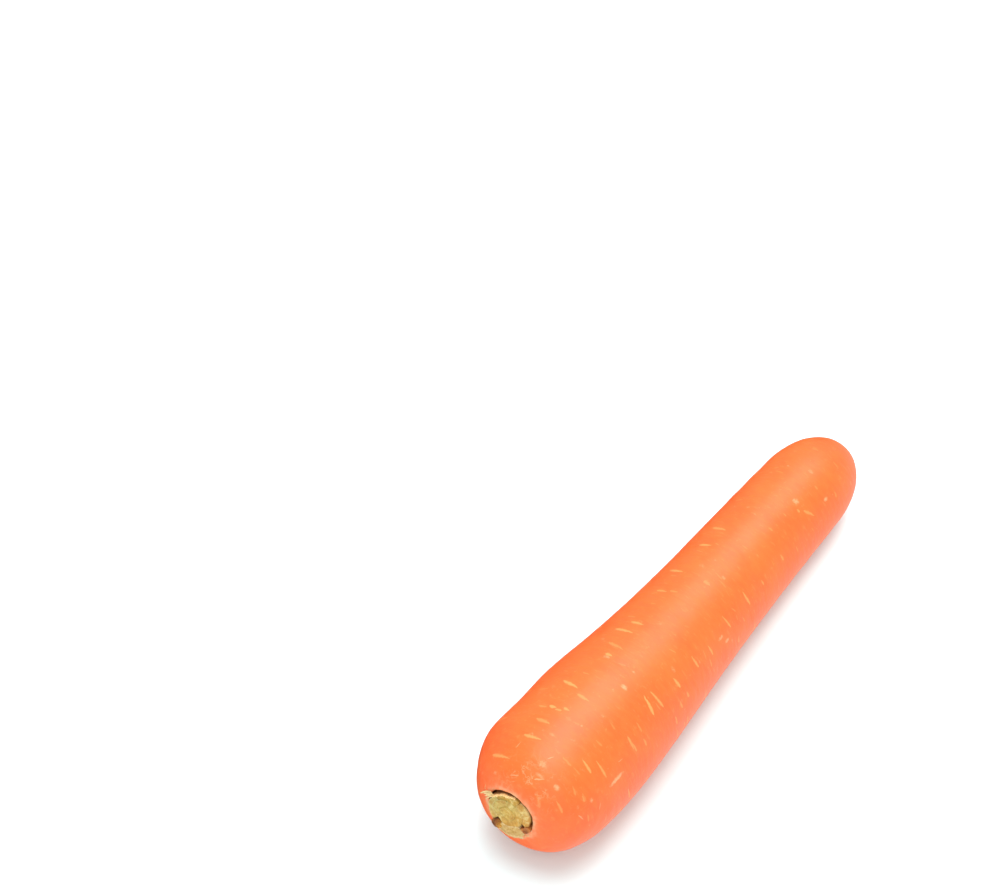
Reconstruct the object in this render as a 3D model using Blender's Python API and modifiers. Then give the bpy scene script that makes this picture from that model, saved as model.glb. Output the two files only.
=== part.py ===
"""A washed market carrot, topped close to the crown, lying on its side.

The root is one grown solid. The cut leaf-stalk bases, two withered ones and a torn dry sheath stand in the
recess of its crown. Metres, +Z up. The root runs along X from the crown to the tip.
"""

import math

import bmesh
import bpy
import numpy as np
from mathutils import Matrix, Vector

# Root: length, then the radius as a straight taper with a soft step at the shoulder.
ROOT_LENGTH = 0.1934
TAPER_RADIUS = 0.02037
TAPER_LOSS = 0.00556
SHOULDER_GAIN = 0.00577
SHOULDER_END = 0.305
SHOULDER_SOFTNESS = 0.107

# Both ends close as superellipse caps: how far each cap reaches, and how square it is.
CROWN_REACH = 0.0776
CROWN_SQUARENESS = 3.77
TIP_REACH = 0.0253
TIP_SQUARENESS = 2.19

# The crown leans, so its upper edge lies a little further back than its lower edge.
CROWN_LEAN = 0.051
LEAN_SIDE = Vector((-0.364, 0.931))

# Gentle sway of the centre line.
SWAY_S = 0.00047
SWAY_ARC = 0.0002

# Swellings (+) and hollows (-) of the skin: distance from the crown, angle round the root from +Y towards
# +Z in degrees, half length, half width in degrees, height.
SWELLINGS = (
    (0.017, 22.0, 0.010, 40.0, 0.00155),
    (0.034, 22.0, 0.008, 40.0, -0.00024),
    (0.050, 22.0, 0.010, 40.0, 0.00032),
    (0.072, 150.0, 0.014, 45.0, 0.00030),
    (0.095, 290.0, 0.016, 40.0, -0.00035),
    (0.118, 110.0, 0.013, 38.0, -0.00025),
    (0.142, 330.0, 0.015, 45.0, 0.00030),
    (0.030, 160.0, 0.012, 50.0, -0.00030),
)

# The root rests on a level strip pressed this deep into its lowest parts.
REST_DEPTH = 0.00028

# Recess in the crown, off the root's own axis.
RECESS_OFFSET = Vector((0.00288, 0.00113))
RECESS_RADIUS = 0.0090
RECESS_FLOOR_RADIUS = 0.0086
RECESS_DEPTH = 0.0052

# Cut stalk bases: their foot, and the lean of the knife cut.
GAP = 0.0003
CUT_LEAN = 0.123
STALK_FOOT = RECESS_DEPTH - GAP

# Dry sheath: its lower edge, and how far its turned-out end stands off the crown.
SHEATH_FOOT = 0.0038
SHEATH_LIFT = 0.0008

ROOT_STEPS = 48
ROOT_STATIONS = 54


def clear_scene():
    """Empty the scene of every object and mesh."""
    for obj in list(bpy.data.objects):
        bpy.data.objects.remove(obj, do_unlink=True)
    for mesh in list(bpy.data.meshes):
        bpy.data.meshes.remove(mesh)


def new_collection(name):
    collection = bpy.data.collections.new(name)
    bpy.context.scene.collection.children.link(collection)
    return collection


def new_material(name, colour, roughness):
    material = bpy.data.materials.new(name)
    material.use_nodes = True
    shader = material.node_tree.nodes["Principled BSDF"]
    shader.inputs["Base Color"].default_value = (*colour, 1.0)
    shader.inputs["Roughness"].default_value = roughness
    shader.inputs["Metallic"].default_value = 0.0
    material.diffuse_color = (*colour, 1.0)
    return material


def new_object(name, bm, collection, material=None, smooth=True):
    """Turn a bmesh into a named object with its own material."""
    bmesh.ops.recalc_face_normals(bm, faces=bm.faces)
    mesh = bpy.data.meshes.new(name)
    bm.to_mesh(mesh)
    bm.free()
    for polygon in mesh.polygons:
        polygon.use_smooth = smooth
    obj = bpy.data.objects.new(name, mesh)
    collection.objects.link(obj)
    if material is not None:
        mesh.materials.append(material)
    return obj


def superellipse(share, squareness):
    """Height of a superellipse cap at a share 0 to 1 of its reach, from 0 at the end to 1 on the body."""
    return (1.0 - (1.0 - np.clip(share, 0.0, 1.0)) ** squareness) ** (1.0 / squareness)


def root_radius(x):
    """Radius of the root at the distance x from the crown."""
    along = x / ROOT_LENGTH
    body = TAPER_RADIUS - TAPER_LOSS * along
    body = body + SHOULDER_GAIN / (1.0 + np.exp((along - SHOULDER_END) / SHOULDER_SOFTNESS))
    crown = superellipse(x / CROWN_REACH, CROWN_SQUARENESS)
    tip = superellipse((ROOT_LENGTH - x) / TIP_REACH, TIP_SQUARENESS)
    return body * crown * tip


def sway(x):
    """Sideways position of the centre line at x."""
    along = x / ROOT_LENGTH
    return SWAY_S * np.sin(3.0 * np.pi * along) * (1.0 - along) + SWAY_ARC * np.sin(np.pi * along)


def axis_line():
    """(height at the crown, slope) of the centre line of a root that lies on its shoulder and its tip."""
    x = np.linspace(0.004, ROOT_LENGTH - 0.002, 1200)
    radius = root_radius(x)
    near = x < 0.45 * ROOT_LENGTH
    far = x > 0.60 * ROOT_LENGTH
    low, high = -0.3, 0.3
    for _ in range(50):
        slope = 0.5 * (low + high)
        if (radius[near] - slope * x[near]).max() > (radius[far] - slope * x[far]).max():
            high = slope
        else:
            low = slope
    height = (radius - slope * x).max() - REST_DEPTH
    return height, slope


AXIS_HEIGHT, AXIS_SLOPE = axis_line()


def swelling(x, angle):
    """How far the skin stands out at x and at an angle round the root."""
    total = np.zeros_like(x)
    for centre, turn, half_length, half_width, height in SWELLINGS:
        off = np.angle(np.exp(1j * (angle - math.radians(turn))))
        along = ((x - centre) / half_length) ** 2
        around = (off / math.radians(half_width)) ** 2
        total = total + height * np.exp(-along - around)
    return total * superellipse(x / CROWN_REACH, CROWN_SQUARENESS)


def crown_x(y, z):
    """Distance from the crown plane to the crown's skin at (y, z) off the root's axis."""
    reach = math.hypot(y, z) / float(TAPER_RADIUS + SHOULDER_GAIN * 0.945)
    dome = CROWN_REACH * (1.0 - (1.0 - reach**CROWN_SQUARENESS) ** (1.0 / CROWN_SQUARENESS))
    return dome + CROWN_LEAN * (LEAN_SIDE.x * y + LEAN_SIDE.y * z)


def recess_point(x, across, up):
    """A point in the root's frame from its place in the recess: across is +Y, up is +Z."""
    y = float(sway(0.0)) + RECESS_OFFSET.x + across
    z = AXIS_HEIGHT + RECESS_OFFSET.y + up
    return Vector((x, y, z))


def cut_x(across, up):
    """Where the knife cut passes at a place in the recess."""
    return CUT_LEAN * (LEAN_SIDE.x * across + LEAN_SIDE.y * up)


def turned_profile(name, points, steps, collection):
    """Screw a profile of (radius, height) points round Z into a closed solid of revolution."""
    bm = bmesh.new()
    last = None
    for radius, height in points:
        vertex = bm.verts.new((radius, 0.0, height))
        if last is not None:
            bm.edges.new((last, vertex))
        last = vertex
    obj = new_object(name, bm, collection)
    screw = obj.modifiers.new("turn", "SCREW")
    screw.axis = "Z"
    screw.angle = math.tau
    screw.steps = steps
    screw.render_steps = steps
    screw.use_merge_vertices = True
    screw.merge_threshold = 0.00001
    graph = bpy.context.evaluated_depsgraph_get()
    turned = bpy.data.meshes.new_from_object(obj.evaluated_get(graph))
    obj.modifiers.clear()
    solid = bmesh.new()
    solid.from_mesh(turned)
    bmesh.ops.recalc_face_normals(solid, faces=solid.faces)
    solid.to_mesh(turned)
    solid.free()
    obj.data = turned
    return obj


def lay_along_x(obj):
    """Turn a solid of revolution from the Z axis to the X axis, its top to the crown side."""
    obj.data.transform(Matrix.Rotation(-math.pi / 2.0, 4, "Y"))


def cut_away(obj, cutter, name):
    """Subtract a cutter with an exact Boolean."""
    cutter.hide_render = True
    cutter.display_type = "WIRE"
    boolean = obj.modifiers.new(name, "BOOLEAN")
    boolean.operation = "DIFFERENCE"
    boolean.solver = "EXACT"
    boolean.object = cutter


def make_recess_cutter(collection):
    """Shallow tapered socket with a rounded floor edge and a softened mouth."""
    mouth = RECESS_RADIUS + 0.0003
    profile = (
        (0.0, 0.0060),
        (mouth + 0.0006, 0.0060),
        (mouth + 0.0004, 0.0008),
        (RECESS_RADIUS, -0.0010),
        (RECESS_FLOOR_RADIUS, -0.0049),
        (RECESS_FLOOR_RADIUS - 0.0004, -RECESS_DEPTH),
        (0.0, -RECESS_DEPTH),
    )
    cutter = turned_profile("recess_cutter", profile, 48, collection)
    lay_along_x(cutter)
    cutter.data.transform(Matrix.Translation(recess_point(0.0, 0.0, 0.0)))
    return cutter


def make_rest_cutter(collection):
    """Block below the surface that presses the level strip into the root."""
    bm = bmesh.new()
    bmesh.ops.create_cube(bm, size=1.0)
    size = Matrix.Diagonal((ROOT_LENGTH * 1.4, 0.08, 0.02, 1.0))
    place = Matrix.Translation((ROOT_LENGTH * 0.5, 0.0, -0.01))
    bm.transform(place @ size)
    return new_object("rest_cutter", bm, collection, smooth=False)


def make_root(collection, cutters, material):
    """Crown, shoulder, tapering body and blunt tip, turned as one solid and then shaped by hand."""
    turn = np.linspace(0.0, np.pi, ROOT_STATIONS)
    stations = 0.5 * ROOT_LENGTH * (1.0 - np.cos(turn))
    radii = root_radius(stations)
    radii[0] = 0.0
    radii[-1] = 0.0
    profile = [(float(r), -float(x)) for r, x in zip(radii, stations)]
    root = turned_profile("carrot_root", profile, ROOT_STEPS, collection)
    lay_along_x(root)
    mesh = root.data
    points = np.empty(len(mesh.vertices) * 3)
    mesh.vertices.foreach_get("co", points)
    points = points.reshape(-1, 3)
    x = points[:, 0].copy()
    angle = np.arctan2(points[:, 2], points[:, 1])
    radius = np.hypot(points[:, 1], points[:, 2])
    radius = radius + swelling(x, angle) * (radius > 1e-6)
    across = radius * np.cos(angle)
    up = radius * np.sin(angle)
    fade = (1.0 - np.clip(x / CROWN_REACH, 0.0, 1.0)) ** 2
    points[:, 0] = x + CROWN_LEAN * fade * (LEAN_SIDE.x * across + LEAN_SIDE.y * up)
    points[:, 1] = across + sway(x)
    points[:, 2] = up + AXIS_HEIGHT + AXIS_SLOPE * x
    mesh.vertices.foreach_set("co", points.ravel())
    mesh.update()
    for polygon in mesh.polygons:
        polygon.use_smooth = True
    mesh.materials.clear()
    mesh.materials.append(material)
    cut_away(root, make_recess_cutter(cutters), "crown_recess")
    cut_away(root, make_rest_cutter(cutters), "level_rest")
    return root


def crescent(inner, outer, middle, half_span, count=9):
    """Outline of a crescent section: inner and outer arcs that close in towards blunt ends."""
    outline = []
    for share in np.linspace(-1.0, 1.0, count):
        angle = math.radians(middle + half_span * share)
        radius = outer - (outer - inner) * 0.22 * share**4
        outline.append((radius * math.cos(angle), radius * math.sin(angle)))
    for share in np.linspace(0.94, -0.94, count - 1):
        angle = math.radians(middle + half_span * share)
        radius = inner + (outer - inner) * 0.30 * share**4
        outline.append((radius * math.cos(angle), radius * math.sin(angle)))
    return outline


def make_stalk(name, outline, proud, collection, material, foot=STALK_FOOT, soft=0.00022):
    """Extrude a stalk base from the recess floor up to the knife cut, then soften its edges."""
    bm = bmesh.new()
    low = []
    high = []
    for across, up in outline:
        low.append(bm.verts.new(recess_point(foot, across, up)))
        high.append(bm.verts.new(recess_point(cut_x(across, up) - proud, across, up)))
    bm.faces.new(low)
    bm.faces.new(high)
    count = len(outline)
    for i in range(count):
        j = (i + 1) % count
        bm.faces.new((low[i], low[j], high[j], high[i]))
    stalk = new_object(name, bm, collection, material, smooth=False)
    bevel = stalk.modifiers.new("soft_edge", "BEVEL")
    bevel.width = soft
    bevel.segments = 2
    bevel.limit_method = "ANGLE"
    bevel.angle_limit = math.radians(50.0)
    return stalk


def make_heart(collection, material):
    """Rounded bundle of the youngest stalks in the middle."""
    outline = []
    for step in range(18):
        angle = math.tau * step / 18
        radius = 0.0021 * (1.0 + 0.10 * math.cos(3.0 * angle + 0.6))
        outline.append((radius * math.cos(angle) + 0.0003, radius * math.sin(angle) - 0.0002))
    return make_stalk("stalk_heart", outline, 0.0003, collection, material)


def make_withered_left(collection, material):
    """Dried stalk base with a rounded head that stands proud at the lower left."""
    head = -0.0017
    profile = (
        (0.0, -head),
        (0.00045, -head - 0.0001),
        (0.00085, -head - 0.0004),
        (0.00105, -head - 0.0009),
        (0.00100, -head - 0.0018),
        (0.00115, -STALK_FOOT + 0.0010),
        (0.00105, -STALK_FOOT),
        (0.0, -STALK_FOOT),
    )
    bud = turned_profile("withered_stalk_left", profile, 16, collection)
    lay_along_x(bud)
    bud.data.transform(Matrix.Diagonal((1.0, 1.25, 0.80, 1.0)))
    bud.data.transform(Matrix.Rotation(math.radians(28.0), 4, "X"))
    turn = math.radians(-59.0)
    place = recess_point(0.0, 0.0073 * math.cos(turn), 0.0073 * math.sin(turn))
    bud.data.transform(Matrix.Translation(place))
    for polygon in bud.data.polygons:
        polygon.use_smooth = True
    bud.data.materials.clear()
    bud.data.materials.append(material)
    return bud


def make_sheath(collection, material):
    """Thin torn leaf sheath: a bent ribbon along the recess wall whose left end turns out over the rim."""
    columns = 16
    rows = 9
    first, last = 12.0, 101.0
    bm = bmesh.new()
    grid = []
    for i in range(columns):
        share = i / (columns - 1)
        turn = math.radians(first + (last - first) * share)
        side = Vector((math.cos(turn), math.sin(turn)))
        wall = 0.00841
        lean_out = 0.0026 * max(0.0, 1.0 - share / 0.55) ** 1.5
        jag = 0.00022 * math.sin(share * 23.0) + 0.00014 * math.sin(share * 51.0 + 1.0)
        rim_y = RECESS_OFFSET.x + (RECESS_RADIUS + 0.0006) * side.x
        rim_z = RECESS_OFFSET.y + (RECESS_RADIUS + 0.0006) * side.y
        rim_x = crown_x(rim_y, rim_z)
        top = rim_x - 0.00075 + jag
        line = []
        for k in range(6):
            line.append((SHEATH_FOOT + (top - SHEATH_FOOT) * k / 5.0, wall))
        for k in range(1, rows - 5):
            out = wall + lean_out * k / (rows - 6) + 0.00008 * k
            y = RECESS_OFFSET.x + out * side.x
            z = RECESS_OFFSET.y + out * side.y
            over = min(top - 0.0001 * k, crown_x(y, z) - SHEATH_LIFT)
            if out > RECESS_RADIUS:
                over = crown_x(y, z) - SHEATH_LIFT
            line.append((over, out))
        grid.append([bm.verts.new(recess_point(x, r * side.x, r * side.y)) for x, r in line])
    for i in range(columns - 1):
        for k in range(len(grid[0]) - 1):
            bm.faces.new((grid[i][k], grid[i][k + 1], grid[i + 1][k + 1], grid[i + 1][k]))
    sheath = new_object("dry_sheath", bm, collection, material)
    solid = sheath.modifiers.new("thickness", "SOLIDIFY")
    solid.thickness = 0.00032
    solid.offset = 0.0
    solid.use_even_offset = True
    return sheath


def centre_on_box(parts, cutters):
    """Move everything so that the box of the parts stands on z = 0 with its middle over the origin."""
    graph = bpy.context.evaluated_depsgraph_get()
    low = np.full(3, 1e9)
    high = np.full(3, -1e9)
    for obj in parts:
        mesh = obj.evaluated_get(graph).to_mesh()
        points = np.empty(len(mesh.vertices) * 3)
        mesh.vertices.foreach_get("co", points)
        points = points.reshape(-1, 3)
        low = np.minimum(low, points.min(axis=0))
        high = np.maximum(high, points.max(axis=0))
    shift = Vector((-0.5 * (low[0] + high[0]), -0.5 * (low[1] + high[1]), -low[2]))
    for obj in parts + cutters:
        obj.data.transform(Matrix.Translation(shift))
        obj.data.update()
    print("shift", [round(v, 6) for v in shift], "size", [round(float(v), 5) for v in high - low])
    print("axis height", round(AXIS_HEIGHT, 6), "slope", round(AXIS_SLOPE, 6))


def main():
    clear_scene()
    carrot = new_collection("carrot")
    cutters = new_collection("cutters")
    flesh = new_material("carrot_skin", (0.90, 0.25, 0.045), 0.42)
    young = new_material("young_stalk_cut", (0.60, 0.52, 0.18), 0.75)
    inner = new_material("inner_stalk_cut", (0.52, 0.46, 0.17), 0.75)
    outer = new_material("outer_stalk_cut", (0.55, 0.47, 0.20), 0.78)
    dried = new_material("dried_stalk", (0.16, 0.07, 0.025), 0.80)
    straw = new_material("dry_sheath_straw", (0.72, 0.60, 0.36), 0.72)

    parts = [make_root(carrot, cutters, flesh), make_heart(carrot, young)]
    ring = (
        ("stalk_inner_left", 0.0027, 0.0052, 20.0, 56.0, 0.0001, inner),
        ("stalk_inner_right", 0.0027, 0.0051, 142.0, 57.0, 0.0002, inner),
        ("stalk_inner_low", 0.0027, 0.0052, 262.0, 54.0, 0.0004, inner),
        ("stalk_outer_left", 0.0056, 0.0082, 3.0, 43.0, 0.0003, outer),
        ("stalk_outer_top", 0.0055, 0.0078, 88.0, 34.0, 0.0, outer),
        ("stalk_outer_right", 0.0055, 0.0078, 157.0, 27.0, 0.0001, outer),
        ("stalk_outer_low", 0.0056, 0.0083, 256.0, 32.0, 0.0005, outer),
        ("withered_stalk_right", 0.0060, 0.0080, 206.0, 12.0, -0.0016, dried),
    )
    for name, low, high, middle, half, proud, material in ring:
        outline = crescent(low, high, middle, half)
        parts.append(make_stalk(name, outline, proud, carrot, material))
    parts.append(make_withered_left(carrot, dried))
    parts.append(make_sheath(carrot, straw))
    centre_on_box(parts, list(cutters.objects))


main()
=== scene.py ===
# %% [markdown]
# # A washed carrot, cut close to the crown
#
# The object is one market carrot lying on its side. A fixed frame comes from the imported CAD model: a plain
# root, ten plain stalk bases and a plain sheath, all at their true size. This lesson dresses that frame.
# The root gets a fine skin with its pale breathing pores, the stalk bases get torn, fibrous cuts, and every
# surface gets a finish worked out by shader nodes.

import math

import bpy
import numpy as np
from mathutils import Matrix, Vector


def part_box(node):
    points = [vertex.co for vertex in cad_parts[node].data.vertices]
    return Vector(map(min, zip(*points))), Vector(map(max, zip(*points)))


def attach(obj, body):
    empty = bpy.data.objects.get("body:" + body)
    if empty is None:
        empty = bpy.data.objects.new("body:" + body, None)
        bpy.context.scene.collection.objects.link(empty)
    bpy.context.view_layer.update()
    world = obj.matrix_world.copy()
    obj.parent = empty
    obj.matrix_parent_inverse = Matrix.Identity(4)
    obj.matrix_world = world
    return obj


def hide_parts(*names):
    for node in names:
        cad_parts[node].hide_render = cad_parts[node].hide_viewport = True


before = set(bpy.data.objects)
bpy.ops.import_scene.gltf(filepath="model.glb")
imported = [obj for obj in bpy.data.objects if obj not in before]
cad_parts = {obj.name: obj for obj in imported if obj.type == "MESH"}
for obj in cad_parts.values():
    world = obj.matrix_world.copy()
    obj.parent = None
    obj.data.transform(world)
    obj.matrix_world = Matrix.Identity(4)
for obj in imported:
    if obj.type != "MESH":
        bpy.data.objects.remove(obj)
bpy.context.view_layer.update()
MM = 0.001
print("nodes:", sorted(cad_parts))

# %% [markdown]
# ## Writing shader maths as Python
#
# A shader is a web of nodes, and a sum written as nodes is hard to read. The small class below wraps one
# output socket. Adding, subtracting or multiplying two of them writes a Math node, so a mask can be written
# as `1 - mask`. Its `node` method makes every other kind of node: settings first, then values and links.


# %% A wrapped socket
def sign(operation):
    """An operator and its reflected form. Each writes one Math node."""
    return (
        lambda wire, other: wire.maths(operation, wire, other),
        lambda wire, other: wire.maths(operation, other, wire),
    )


class Wire:
    """One output socket of a node tree, with the arithmetic that the materials below use."""

    def __init__(self, tree, socket=None):
        self.tree = tree
        self.socket = socket

    def node(self, kind, settings=None, inputs=None, out=0):
        """Make a node. settings are set first; inputs are values or wires; out is the output wanted."""
        made = self.tree.nodes.new(kind)
        for name, value in (settings or {}).items():
            setattr(made, name, value)
        for name, value in (inputs or {}).items():
            if isinstance(value, Wire):
                self.tree.links.new(value.socket, made.inputs[name])
            else:
                made.inputs[name].default_value = value
        return Wire(self.tree, made.outputs[out] if len(made.outputs) else None)

    def maths(self, operation, first, second=0.0):
        return self.node("ShaderNodeMath", {"operation": operation}, {0: first, 1: second})

    __add__, __radd__ = sign("ADD")
    __sub__, __rsub__ = sign("SUBTRACT")
    __mul__, __rmul__ = sign("MULTIPLY")
    __truediv__, __rtruediv__ = sign("DIVIDE")

    def most(self, other):
        """The greater of the two."""
        return self.maths("MAXIMUM", self, other)

    def axis(self, name):
        """One number of a vector: its X, Y or Z."""
        return self.node("ShaderNodeSeparateXYZ", {}, {"Vector": self}, out=name)

    def rise(self, low, high):
        """0 below low, 1 above high, and a smooth S between."""
        inputs = {"Value": self, "From Min": low, "From Max": high}
        return self.node("ShaderNodeMapRange", {"interpolation_type": "SMOOTHSTEP"}, inputs)

    def mix(self, first, second):
        """Blend two colours by this wire: first at 0, second at 1. Each is a wire or (red, green, blue)."""
        first, second = (one if isinstance(one, Wire) else (*one, 1.0) for one in (first, second))
        return self.node("ShaderNodeMix", {"data_type": "RGBA"}, {0: self, 6: first, 7: second}, out=2)


print("shader helper ready")

# %% [markdown]
# ## Patterns that every finish shares
#
# Plant surfaces are uneven at every scale. Each finish reads the object's own coordinates, in metres, and
# feeds them to noise. A stretched noise, with its coordinates scaled differently along X, gives fibres.


# %% New finishes and their noise
def new_finish(name):
    """A material with an empty tree; gives it and a wire to start nodes from."""
    material = bpy.data.materials.new(name)
    material.use_nodes = True
    material.node_tree.nodes.clear()
    return material, Wire(material.node_tree)


def place_of(start, scale=(1.0, 1.0, 1.0)):
    """Object coordinates in metres, stretched by scale."""
    coordinates = start.node("ShaderNodeTexCoord", out="Object")
    return start.node("ShaderNodeMapping", {}, {"Vector": coordinates, "Scale": scale})


def noise(place, scale, detail=3.0, roughness=0.55, distortion=0.0):
    """Cloudy values about 0.5, with a feature every 1 / scale metres."""
    inputs = {"Vector": place, "Scale": scale, "Detail": detail}
    inputs |= {"Roughness": roughness, "Distortion": distortion}
    return place.node("ShaderNodeTexNoise", {}, inputs, out="Fac")


def attribute(start, name):
    """A number stored on the piece's own points."""
    return start.node("ShaderNodeAttribute", {"attribute_name": name}, out="Fac")


def finish_with(start, base, rough, shine=0.5, bump=None, depth=0.0, strength=1.0):
    """Close a material with a Principled shader; bump is a height wire and depth its metres."""
    inputs = {"Base Color": base, "Roughness": rough, "Specular IOR Level": shine}
    if bump is not None:
        relief = {"Height": bump, "Distance": depth, "Strength": strength}
        inputs["Normal"] = start.node("ShaderNodeBump", {}, relief, out="Normal")
    shader = start.node("ShaderNodeBsdfPrincipled", {}, inputs, out="BSDF")
    start.node("ShaderNodeOutputMaterial", {}, {"Surface": shader})


print("finish helpers ready")

# %% [markdown]
# ## From a grid of points to a mesh
#
# Every new piece is a surface over two parameters: rows along it and columns round it. One helper turns
# such grids into a closed mesh. Columns wrap round, and the first and last rows are closed by a single pole
# each.


# %% Grid to mesh
def closed_faces(points, first):
    """Quads of one wrapped grid and the triangles of its two poles, facing outwards, counted from first."""
    rows, columns = points.shape[:2]
    index = np.arange(rows * columns).reshape(rows, columns)
    right = np.roll(index, -1, axis=1)
    quads = np.stack([index[:-1], right[:-1], right[1:], index[1:]], axis=-1).reshape(-1, 4)
    pole = np.full(columns, rows * columns)
    start = np.stack([pole, right[0], index[0]], axis=-1)
    end = np.stack([pole + 1, index[-1], right[-1]], axis=-1)
    flat = points.reshape(-1, 3) - points.reshape(-1, 3).mean(axis=0)
    corners = flat[quads]
    volume = np.einsum("ij,ij->", corners[:, 0], np.cross(corners[:, 1], corners[:, 2]))
    volume += np.einsum("ij,ij->", corners[:, 0], np.cross(corners[:, 2], corners[:, 3]))
    if volume < 0.0:
        quads, start, end = quads[:, ::-1], start[:, ::-1], end[:, ::-1]
    return (quads + first).tolist() + (start + first).tolist() + (end + first).tolist()


def close_grids(name, grids, material, attributes=None):
    """One mesh from tube-like grids [row, column, xyz]: columns wrap round, and a pole at the mean of each
    end row closes it. attributes holds, for each name, one array for each grid: numbers or vectors."""
    vertices, faces = [], []
    count = 0
    for points in grids:
        if not np.isfinite(points).all():
            raise ValueError(f"{name} has a point that is not a number")
        poles = np.stack([points[0].mean(axis=0), points[-1].mean(axis=0)])
        faces += closed_faces(points, count)
        vertices.append(np.concatenate([points.reshape(-1, 3), poles]))
        count += len(vertices[-1])
    mesh = bpy.data.meshes.new(name)
    mesh.from_pydata(np.concatenate(vertices).tolist(), [], faces)
    mesh.polygons.foreach_set("use_smooth", np.ones(len(mesh.polygons), dtype=bool))
    for key, arrays in (attributes or {}).items():
        kind, field, size = ("FLOAT_VECTOR", "vector", 3) if arrays[0].ndim == 3 else ("FLOAT", "value", 1)
        parts = [part.reshape(-1, size) for v in arrays for part in (v, v[:1, 0], v[-1:, 0])]
        layer = mesh.attributes.new(key, kind, "POINT")
        layer.data.foreach_set(field, np.concatenate(parts).ravel().astype(np.float32))
    mesh.materials.append(material)
    mesh.update()
    piece = bpy.data.objects.new(name, mesh)
    bpy.context.scene.collection.objects.link(piece)
    print(f"{name}: {len(mesh.polygons)} faces")
    return piece


def stand_for(piece, node):
    """The piece is shown in place of the CAD node, which is hidden, and rides with the root's body."""
    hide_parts(node)
    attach(piece, "root")


def outward(points):
    """Unit normals of a wrapped grid, from its own differences along rows and columns."""
    along = np.gradient(points, axis=0)
    around = np.roll(points, -1, axis=1) - np.roll(points, 1, axis=1)
    normal = np.cross(along, around)
    return normal / np.maximum(np.linalg.norm(normal, axis=-1, keepdims=True), 1e-12)


# %% [markdown]
# ## The root's outline
#
# A carrot root is a swollen tap root: widest just below the crown, then a long even taper to a blunt end.
# The outline is a straight taper with a soft step at the shoulder, closed at both ends by superellipse
# caps. These are the CAD root's own numbers, so the fine skin lies on the plain one.

# %% Outline of the root
ROOT_LENGTH = 0.1934
TAPER_RADIUS = 0.02037
TAPER_LOSS = 0.00556
SHOULDER_GAIN = 0.00577
SHOULDER_END = 0.305
SHOULDER_SOFTNESS = 0.107
CROWN_REACH = 0.0776
CROWN_SQUARENESS = 3.77
TIP_REACH = 0.0253
TIP_SQUARENESS = 2.19


def superellipse(share, squareness):
    """(1 - (1 - share)^n)^(1/n): 0 at the end of a cap, 1 where it meets the body."""
    return (1.0 - (1.0 - np.clip(share, 0.0, 1.0)) ** squareness) ** (1.0 / squareness)


def root_radius(x):
    """Taper line plus a logistic step at the shoulder, times the two end caps."""
    along = x / ROOT_LENGTH
    body = TAPER_RADIUS - TAPER_LOSS * along
    body = body + SHOULDER_GAIN / (1.0 + np.exp((along - SHOULDER_END) / SHOULDER_SOFTNESS))
    crown = superellipse(x / CROWN_REACH, CROWN_SQUARENESS)
    return body * crown * superellipse((ROOT_LENGTH - x) / TIP_REACH, TIP_SQUARENESS)


print("widest radius in mm:", round(root_radius(np.linspace(0.0, 0.1, 500)).max() / MM, 2))

# %% [markdown]
# ## Where the root lies
#
# The centre line slopes down to the tip, because the shoulder is thicker than the tip and both touch the
# table. It also sways a little, and the skin swells and sinks in broad patches. The crown leans back
# slightly.

# %% Centre line and swellings
SWAY_S = 0.00047
SWAY_ARC = 0.0002
CROWN_LEAN = 0.051
LEAN_SIDE = (-0.364, 0.931)
AXIS_HEIGHT = 0.024977
AXIS_SLOPE = -0.05748
CROWN_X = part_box("carrot_root")[1][0] - ROOT_LENGTH
SWELLINGS = (
    # from the crown, angle, half length, half width in degrees, height
    (0.017, 22.0, 0.010, 40.0, 0.00155),
    (0.034, 22.0, 0.008, 40.0, -0.00024),
    (0.050, 22.0, 0.010, 40.0, 0.00032),
    (0.072, 150.0, 0.014, 45.0, 0.00030),
    (0.095, 290.0, 0.016, 40.0, -0.00035),
    (0.118, 110.0, 0.013, 38.0, -0.00025),
    (0.142, 330.0, 0.015, 45.0, 0.00030),
    (0.030, 160.0, 0.012, 50.0, -0.00030),
)


def between(angle, other):
    """angle - other, brought between -pi and pi."""
    return np.angle(np.exp(1j * (angle - other)))


def patch(x, angle, centre, turn, half_length, half_width):
    """exp(-(dx / half_length)^2 - (d angle / half_width)^2): a soft bump of height 1 on the skin."""
    off = between(angle, math.radians(turn)) / math.radians(half_width)
    return np.exp(-(((x - centre) / half_length) ** 2) - off**2)


def swelling(x, angle):
    """Sum of the patches, faded out by the crown cap."""
    total = sum(s[4] * patch(x, angle, *s[:4]) for s in SWELLINGS)
    return total * superellipse(x / CROWN_REACH, CROWN_SQUARENESS)


def sway(x):
    along = x / ROOT_LENGTH
    return SWAY_S * np.sin(3.0 * np.pi * along) * (1.0 - along) + SWAY_ARC * np.sin(np.pi * along)


def in_place(x, across, up):
    """Move points given off the centre line into the frame: lean, sway, slope and the crown's own X."""
    fade = (1.0 - np.clip(x / CROWN_REACH, 0.0, 1.0)) ** 2
    lean = CROWN_LEAN * fade * (LEAN_SIDE[0] * across + LEAN_SIDE[1] * up)
    height = up + AXIS_HEIGHT + AXIS_SLOPE * x
    return np.stack([CROWN_X + x + lean, CENTRE_Y + across + sway(x), height], axis=-1)


def side_reach():
    """Sideways reach of the skin off its centre line, to centre it in the CAD box."""
    stations, turns = np.linspace(0.0, ROOT_LENGTH, 800), np.radians(np.arange(0, 360, 7.5))
    x, angle = np.meshgrid(stations, turns, indexing="ij")
    y = (root_radius(x) + swelling(x, angle)) * np.cos(angle) + sway(x)
    return y.min(), y.max()


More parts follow.
